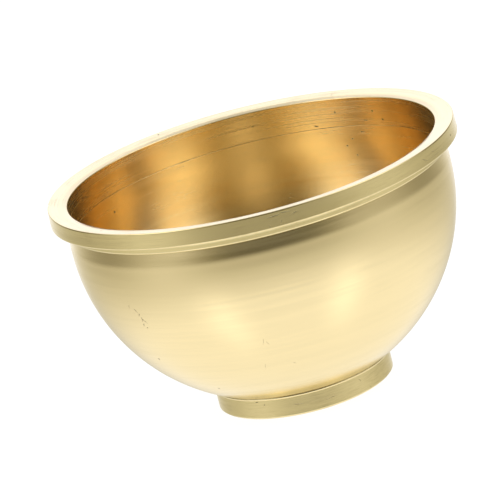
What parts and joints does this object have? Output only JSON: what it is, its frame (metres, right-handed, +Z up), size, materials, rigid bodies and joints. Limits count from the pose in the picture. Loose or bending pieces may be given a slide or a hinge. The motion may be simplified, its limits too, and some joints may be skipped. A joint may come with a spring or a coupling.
{
  "type": "shaving bowl",
  "caption": "Round brass shaving bowl: deep ball-shaped body, rim collar with an inward-sloping lip, band and step, and a short foot ring.",
  "frame": {"origin": "centre of the foot ring's underside, on the plane that the bowl rests on", "axes": "+Z up along the bowl's axis of revolution, out of the mouth; X and Y are any two level directions"},
  "size_m": [0.11, 0.11, 0.0645],
  "materials": {
    "shell_brass": "turned and softly polished, fine lines round the bowl, warmer and a little tarnished inside",
    "collar_brass": "turned, left a little duller and greener on the band, bright broken edges",
    "seam_filler": "dull, dark and pitted filler metal, flush with the wall",
    "foot_brass": "turned, duller than the body, with handling marks",
    "bead_filler": "bright, smooth filler bead"
  },
  "bodies": {
    "root": {"bowl_shell": "shell_brass", "rim_ring": "collar_brass", "rim_braze": "seam_filler", "foot_ring": "foot_brass", "foot_braze": "bead_filler"}
  },
  "joints": []
}
